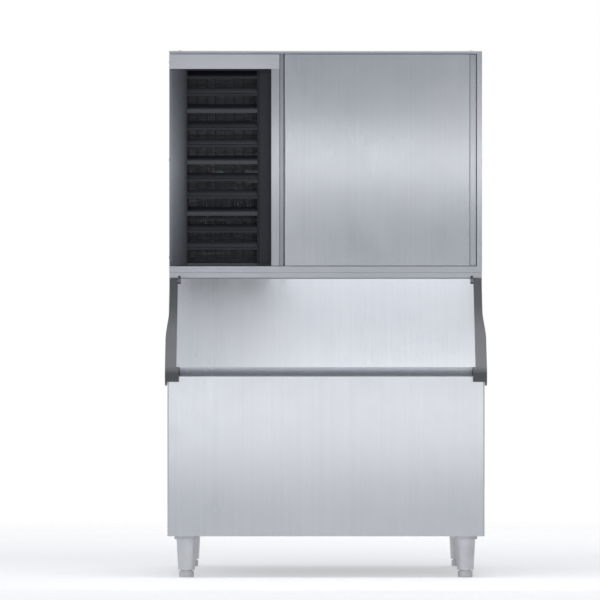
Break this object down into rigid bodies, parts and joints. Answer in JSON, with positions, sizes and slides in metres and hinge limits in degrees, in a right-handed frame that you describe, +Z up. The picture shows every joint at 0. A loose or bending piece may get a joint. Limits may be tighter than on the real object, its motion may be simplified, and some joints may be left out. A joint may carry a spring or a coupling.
{
  "type": "modular ice cube machine on a storage bin",
  "caption": "Air-cooled modular ice cube machine with a black louvred intake, on an insulated stainless storage bin with a sloped lift-up door and four legs.",
  "frame": {"origin": "centre of the bounding box at floor level", "axes": "+Z up, the front faces -Y, +X to the viewer's right"},
  "size_m": [0.774, 0.888, 1.275],
  "materials": {
    "stainless": "satin",
    "galvanised": "satin",
    "black_plastic": "matte",
    "white_plastic": "gloss",
    "foam": "matte",
    "rubber": "matte",
    "leg_steel": "satin",
    "copper": "satin",
    "nickel": "satin",
    "black_enamel": "gloss",
    "aluminium": "satin",
    "grey_paint": "satin",
    "brass": "satin"
  },
  "bodies": {
    "root": {"bin_front_panel": "stainless", "bin_left_side_panel": "stainless", "bin_right_side_panel": "stainless", "bin_back_panel": "galvanised", "bin_bottom_panel": "galvanised", "bin_liner": "white_plastic", "bin_insulation": "foam", "bin_top_rail": "stainless", "bin_head_gasket": "rubber", "bin_drain_fitting": "leg_steel", "legs": "leg_steel", "door_hinge_brackets": "galvanised", "door_bumpers": "rubber", "head_base_pan": "stainless", "head_back_panel": "galvanised", "head_left_side_panel": "stainless", "head_right_side_panel": "stainless", "head_top_cover": "stainless", "head_top_rail": "galvanised", "centre_partition": "white_plastic", "air_filter": "black_plastic", "condenser_coil": "aluminium", "fan_shroud": "galvanised", "fan_motor": "black_enamel", "compressor": "black_enamel", "compressor_grommets": "rubber", "filter_drier": "copper", "hot_gas_valve": "black_enamel", "expansion_valve": "brass", "refrigerant_lines": "copper", "control_box": "grey_paint", "water_inlet_valve": "white_plastic", "evaporator_plate": "nickel", "evaporator_coil": "copper", "evaporator_frame": "white_plastic", "distribution_tube": "white_plastic", "water_trough": "white_plastic", "water_pump": "black_enamel", "pump_hose": "rubber", "dump_valve": "white_plastic", "level_probe": "white_plastic", "front_hinge_pins": "leg_steel"},
    "bin_door": {"bin_door_skin": "stainless", "bin_door_liner": "white_plastic", "bin_door_foam": "foam", "door_grip_left": "black_plastic", "door_grip_right": "black_plastic", "door_hinge_pins": "leg_steel"},
    "grille_door": {"grille_frame": "stainless", "intake_grille": "black_plastic"},
    "front_door": {"right_front_door": "stainless", "front_door_insulation": "foam"},
    "curtain": {"water_curtain": "white_plastic"},
    "fan": {"fan_blade": "aluminium"},
    "thickness_probe": {"ice_thickness_probe": "white_plastic"},
    "switch": {"power_switch": "black_plastic"},
    "foot_front_left": {"foot_front_left": "leg_steel"},
    "foot_front_right": {"foot_front_right": "leg_steel"},
    "foot_back_left": {"foot_back_left": "leg_steel"},
    "foot_back_right": {"foot_back_right": "leg_steel"}
  },
  "joints": [
    {"name": "bin_door_hinge", "type": "hinge", "parent": "root", "child": "bin_door", "pos_m": [0, -0.2, 0.7125], "axis": [-1, 0, 0], "range_deg": [0, 120]},
    {"name": "grille_door_hinge", "type": "hinge", "parent": "root", "child": "grille_door", "pos_m": [-0.371, -0.178, 1], "axis": [0, 0, 1], "range_deg": [-95, 0]},
    {"name": "front_door_hinge", "type": "hinge", "parent": "root", "child": "front_door", "pos_m": [-0.092, -0.182, 1], "axis": [0, 0, 1], "range_deg": [-100, 0]},
    {"name": "curtain_hinge", "type": "hinge", "parent": "root", "child": "curtain", "pos_m": [0.14, 0.034, 1.196], "axis": [-1, 0, 0], "range_deg": [0, 30]},
    {"name": "fan_axle", "type": "hinge", "parent": "root", "child": "fan", "pos_m": [-0.246, -0.033, 0.93], "axis": [0, 1, 0], "continuous": true},
    {"name": "thickness_probe_pivot", "type": "hinge", "parent": "root", "child": "thickness_probe", "pos_m": [-0.004, 0.045, 1.184], "axis": [-1, 0, 0], "range_deg": [0, 5]},
    {"name": "power_switch_rocker", "type": "hinge", "parent": "root", "child": "switch", "pos_m": [-0.18, -0.134, 1.15], "axis": [1, 0, 0], "range_deg": [-25, 0]},
    {"name": "foot_front_left_thread", "type": "slide", "parent": "root", "child": "foot_front_left", "axis": [0, 0, -1], "range_m": [0, 0.025]},
    {"name": "foot_front_right_thread", "type": "slide", "parent": "root", "child": "foot_front_right", "axis": [0, 0, -1], "range_m": [0, 0.025]},
    {"name": "foot_back_left_thread", "type": "slide", "parent": "root", "child": "foot_back_left", "axis": [0, 0, -1], "range_m": [0, 0.025]},
    {"name": "foot_back_right_thread", "type": "slide", "parent": "root", "child": "foot_back_right", "axis": [0, 0, -1], "range_m": [0, 0.025]}
  ]
}
